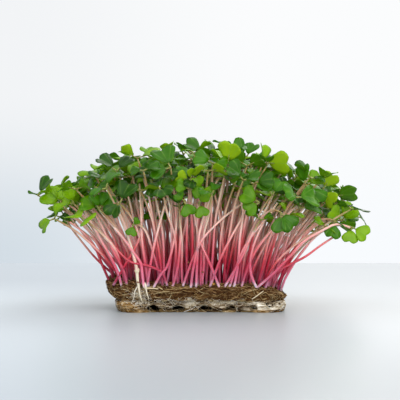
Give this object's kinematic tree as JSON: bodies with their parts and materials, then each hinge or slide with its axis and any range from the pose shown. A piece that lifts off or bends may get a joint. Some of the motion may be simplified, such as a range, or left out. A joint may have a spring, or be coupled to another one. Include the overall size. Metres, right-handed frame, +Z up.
{
  "type": "microgreens block",
  "caption": "Block of pink-stemmed radish seedlings with heart-shaped seed leaves, grown on a fibre mat whose roots took the print of a ribbed tray.",
  "frame": {"origin": "middle of the flat underside of the root layer, on the surface that the block rests on", "axes": "+X along the block's long side, to the right as seen in the picture; -Y towards the front; +Z up"},
  "size_m": [0.2161, 0.1654, 0.1126],
  "materials": {
    "seedling": "fresh seed leaves, waxy green, on pale pink stems that turn crimson towards the mat",
    "seedling_stem": "juicy stem, pale pink-beige under the leaves and crimson at the foot",
    "growing_mat": "damp brown plant fibre with straw-coloured strands",
    "root_felt": "matted cream roots with a tan cast on the feet",
    "seed_husk": "dry brown and straw-coloured seed coats"
  },
  "bodies": {
    "root": {"seedling_tuft_01": "seedling", "seedling_tuft_02": "seedling", "seedling_tuft_03": "seedling", "seedling_tuft_04": "seedling", "seedling_tuft_05": "seedling", "seedling_tuft_06": "seedling", "seedling_tuft_07": "seedling", "seedling_tuft_08": "seedling", "seedling_tuft_09": "seedling", "seedling_tuft_10": "seedling", "seedling_tuft_11": "seedling", "seedling_tuft_12": "seedling", "seedling_tuft_13": "seedling", "seedling_tuft_14": "seedling", "seedling_tuft_15": "seedling", "seedling_tuft_16": "seedling", "seedling_tuft_17": "seedling", "seedling_tuft_18": "seedling", "seedling_tuft_19": "seedling", "seedling_tuft_20": "seedling", "seedling_tuft_21": "seedling", "seedling_tuft_22": "seedling", "seedling_tuft_23": "seedling", "seedling_tuft_24": "seedling", "seedling_tuft_25": "seedling", "seedling_tuft_26": "seedling", "seedling_tuft_27": "seedling", "seedling_tuft_28": "seedling", "seedling_tuft_29": "seedling", "seedling_tuft_30": "seedling", "seedling_tuft_31": "seedling", "seedling_tuft_32": "seedling", "seedling_tuft_33": "seedling", "seedling_tuft_34": "seedling", "seedling_tuft_35": "seedling", "seedling_tuft_36": "seedling", "seedling_tuft_37": "seedling", "seedling_tuft_38": "seedling", "seedling_tuft_39": "seedling", "seedling_tuft_40": "seedling", "seedling_tuft_41": "seedling", "seedling_tuft_42": "seedling", "seedling_tuft_43": "seedling", "seedling_tuft_44": "seedling", "seedling_tuft_45": "seedling", "seedling_tuft_46": "seedling", "seedling_tuft_47": "seedling", "seedling_tuft_48": "seedling", "growing_mat": "growing_mat", "root_layer": "root_felt", "seed_husk_1": "seed_husk", "seed_husk_2": "seed_husk", "seed_husk_3": "seed_husk", "seed_husk_4": "seed_husk", "seed_husk_5": "seed_husk", "seed_husk_6": "seed_husk"}
  },
  "joints": []
}
